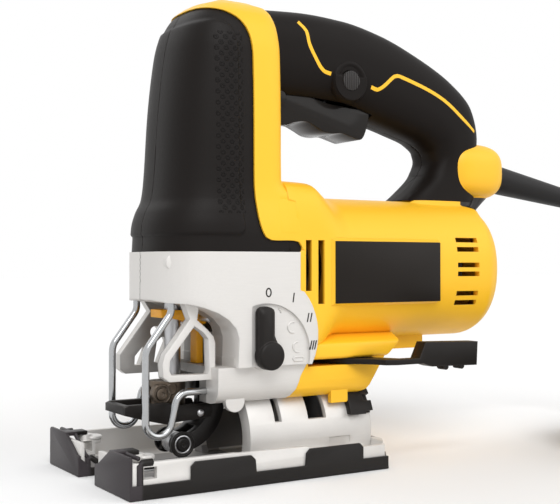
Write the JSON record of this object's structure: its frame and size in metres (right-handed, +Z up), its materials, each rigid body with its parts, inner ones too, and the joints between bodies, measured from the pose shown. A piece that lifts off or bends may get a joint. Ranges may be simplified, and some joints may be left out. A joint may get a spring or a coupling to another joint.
{
  "type": "jigsaw",
  "caption": "Corded top-handle jigsaw with orbital blade guide, tilting shoe on a keyless bevel clamp, trigger, lock-on button and wire finger guard.",
  "frame": {"origin": "centre of the shoe's flat underside, at the bevel's zero", "axes": "-X is the cutting direction, +X the rear, +Y the tool's right side, +Z up"},
  "size_m": [0.3215, 0.1829, 0.2051],
  "materials": {
    "housing": "satin moulded plastic",
    "grip": "soft overmoulded grip",
    "case": "satin painted die casting",
    "panel": "plain satin panel",
    "steel": "ground steel",
    "dark_steel": "blackened steel",
    "gear_steel": "hardened steel",
    "laminations": "varnished laminations",
    "black_plastic": "moulded plastic",
    "grey_plastic": "moulded plastic",
    "carbon": "carbon",
    "bronze": "sintered bronze",
    "bronze_steel": "browned steel",
    "copper": "copper segments",
    "wire": "bright plated wire",
    "orange": "moulded plastic",
    "black_metal": "black oxide",
    "cast": "satin die casting",
    "cover": "satin black cover",
    "cord_rubber": "soft cable sheath",
    "pins": "plated pins"
  },
  "bodies": {
    "housing": {"left_housing": "housing", "right_housing": "housing", "left_front_grip": "grip", "right_front_grip": "grip", "left_handle_grip": "grip", "right_handle_grip": "grip", "left_gear_case": "case", "right_gear_case": "case", "side_panels": "panel", "gear_plate": "steel", "gear_spindle": "steel", "front_bearing": "steel", "rear_bearing": "steel", "stator": "laminations", "brush_holders": "black_plastic", "brushes": "carbon", "lower_bushing": "bronze", "upper_bushing": "bronze", "switch_module": "black_plastic", "cord_boot": "cord_rubber", "wire_guard": "wire", "housing_screws": "dark_steel", "case_screws": "dark_steel", "release_pin": "steel", "bevel_bolt": "dark_steel", "clamp_shoe": "steel", "arm_pivot": "steel", "lead": "cord_rubber", "lead_coil": "cord_rubber", "coil_tie": "black_plastic", "plug_body": "cord_rubber", "plug_pins": "pins", "trigger_spring": "steel"},
    "armature": {"armature": "laminations", "commutator": "copper", "fan": "black_plastic", "pinion": "gear_steel"},
    "drive_gear": {"drive_gear": "gear_steel", "crank_pin": "steel"},
    "plunger": {"plunger": "steel", "yoke": "steel", "blade_clamp": "bronze_steel"},
    "blade_release": {"blade_release": "orange"},
    "guide_arm": {"roller_arm": "black_metal", "guide_fork": "black_plastic", "roller_pin": "steel"},
    "guide_roller": {"guide_roller": "steel"},
    "selector": {"selector_knob": "black_plastic", "selector_cam": "steel"},
    "trigger": {"trigger": "black_plastic"},
    "lock_button": {"lock_button": "grey_plastic"},
    "bevel_lever": {"bevel_lever": "black_plastic"},
    "shoe": {"sole_casting": "cast", "bevel_barrel": "cast", "shoe_cover": "cover", "detent_ring": "black_plastic"}
  },
  "joints": [
    {"name": "motor_spin", "type": "hinge", "parent": "housing", "child": "armature", "pos_m": [0, 0, 0.087], "axis": [1, 0, 0], "continuous": true},
    {"name": "gear_spin", "type": "hinge", "parent": "housing", "child": "drive_gear", "pos_m": [0, 0, 0.1086], "axis": [1, 0, 0], "continuous": true},
    {"name": "blade_stroke", "type": "slide", "parent": "housing", "child": "plunger", "axis": [0, 0, 1], "range_m": [-0.01, 0.016]},
    {"name": "release_turn", "type": "hinge", "parent": "housing", "child": "blade_release", "pos_m": [-0.015, 0, 0.066], "axis": [0, -1, 0], "range_deg": [0, 20], "stiffness_Nm_per_rad": 0.08, "springref_deg": -5.73},
    {"name": "guide_swing", "type": "hinge", "parent": "housing", "child": "guide_arm", "pos_m": [-0.00913, 0, 0.03579], "axis": [0, 1, 0], "range_deg": [-2, 2]},
    {"name": "roller_spin", "type": "hinge", "parent": "guide_arm", "child": "guide_roller", "pos_m": [-0.0255, 0, 0.01256], "axis": [0, 1, 0], "continuous": true},
    {"name": "selector_turn", "type": "hinge", "parent": "housing", "child": "selector", "pos_m": [0.0014, 0, 0.051], "axis": [0, 1, 0], "range_deg": [0, 85]},
    {"name": "trigger_pull", "type": "hinge", "parent": "housing", "child": "trigger", "pos_m": [0.021, 0, 0.164], "axis": [0, -1, 0], "range_deg": [0, 7], "stiffness_Nm_per_rad": 1.5, "springref_deg": -2.86, "deforming": ["trigger_spring"]},
    {"name": "lock_press", "type": "slide", "parent": "housing", "child": "lock_button", "axis": [0, 1, 0], "range_m": [0, 0.003], "stiffness_N_per_m": 300, "springref_m": -0.001},
    {"name": "bevel_clamp", "type": "hinge", "parent": "housing", "child": "bevel_lever", "pos_m": [0.0315, 0, 0.045], "axis": [0, 0, -1], "range_deg": [0, 36]},
    {"name": "bevel_tilt", "type": "hinge", "parent": "housing", "child": "shoe", "pos_m": [0, 0, 0.014], "axis": [1, 0, 0], "range_deg": [-45, 45]}
  ],
  "couplings": [
    {"joint": "gear_spin", "follows": "motor_spin", "ratio": -0.17391}
  ]
}
